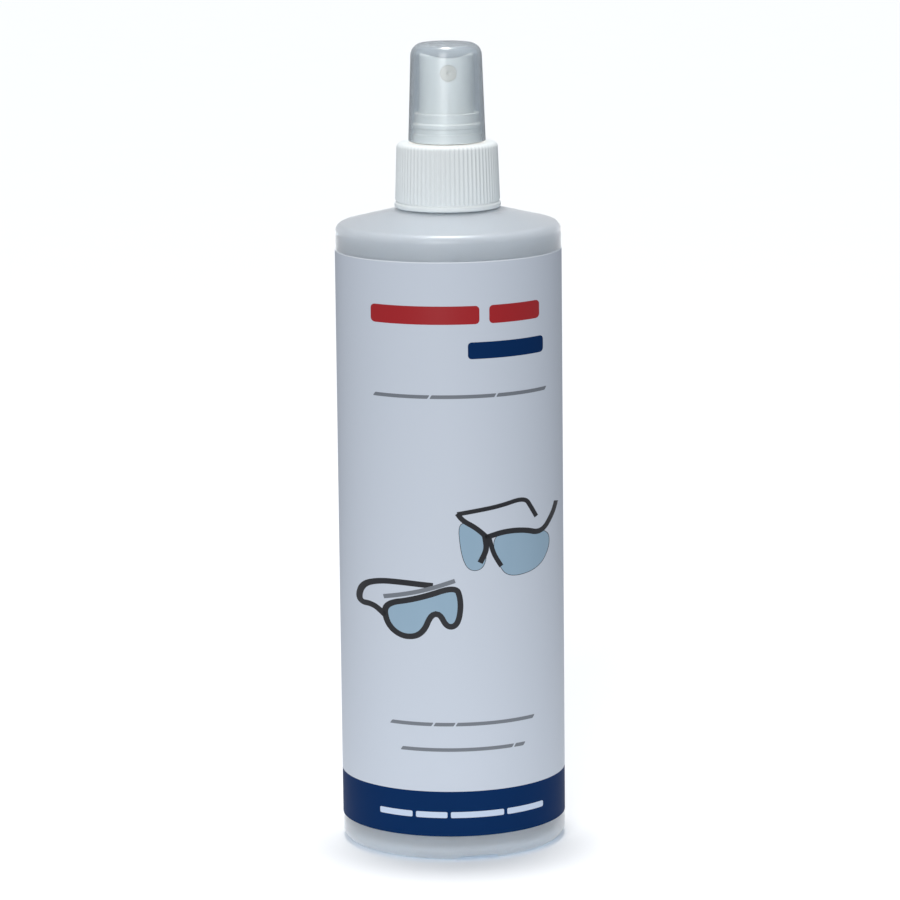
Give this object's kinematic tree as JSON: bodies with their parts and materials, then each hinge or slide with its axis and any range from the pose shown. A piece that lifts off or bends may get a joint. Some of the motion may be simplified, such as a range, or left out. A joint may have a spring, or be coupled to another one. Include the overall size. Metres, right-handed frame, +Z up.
{
  "type": "lens cleaning spray bottle",
  "caption": "Round translucent bottle with a wrap label, screw closure, fine-mist finger pump and clear pull-off overcap.",
  "frame": {"origin": "centre of the bottle's contact ring, on the surface it stands on", "axes": "+Z up along the bottle and pump axis; the nozzle and the label's front face -Y"},
  "size_m": [0.063, 0.063, 0.2248],
  "materials": {
    "bottle_plastic": "satin",
    "label_film": "satin",
    "fluid": "gloss",
    "white_plastic": "satin",
    "natural_plastic": "satin",
    "nozzle_plastic": "satin",
    "gasket_rubber": "matte",
    "steel": "polished",
    "clear_tint": "gloss"
  },
  "bodies": {
    "bottle": {"bottle": "bottle_plastic", "wrap_label": "label_film", "cleaning_fluid": "fluid"},
    "pump": {"pump_housing": "natural_plastic", "turret": "white_plastic", "neck_gasket": "gasket_rubber", "stem_gasket": "gasket_rubber", "dip_tube": "natural_plastic", "return_spring": "steel"},
    "closure": {"closure": "white_plastic"},
    "stem": {"stem": "natural_plastic", "stem_plug": "natural_plastic"},
    "piston": {"piston": "natural_plastic"},
    "actuator": {"actuator": "white_plastic", "nozzle_insert": "nozzle_plastic"},
    "check_ball": {"check_ball": "steel"},
    "overcap": {"overcap": "clear_tint"}
  },
  "joints": [
    {"name": "pump_lift", "type": "slide", "parent": "bottle", "child": "pump", "axis": [0, 0, 1], "range_m": [0, 0.0048]},
    {"name": "closure_turn", "type": "hinge", "parent": "pump", "child": "closure", "pos_m": [0, 0, 0.188], "axis": [0, 0, 1], "range_deg": [0, 540]},
    {"name": "press", "type": "slide", "parent": "pump", "child": "stem", "axis": [0, 0, -1], "range_m": [0, 0.005], "stiffness_N_per_m": 1500, "springref_m": -0.003, "deforming": ["return_spring"]},
    {"name": "actuator_swivel", "type": "hinge", "parent": "stem", "child": "actuator", "pos_m": [0, 0, 0.208], "axis": [0, 0, 1], "continuous": true},
    {"name": "piston_slip", "type": "slide", "parent": "stem", "child": "piston", "axis": [0, 0, 1], "range_m": [0, 0.0006]},
    {"name": "ball_lift", "type": "slide", "parent": "pump", "child": "check_ball", "axis": [0, 0, 1], "range_m": [0, 0.0012]},
    {"name": "overcap_pull", "type": "slide", "parent": "pump", "child": "overcap", "axis": [0, 0, 1], "range_m": [0, 0.03]}
  ],
  "couplings": [
    {"joint": "pump_lift", "follows": "closure_turn", "m_per_rad": 0.00050532}
  ]
}
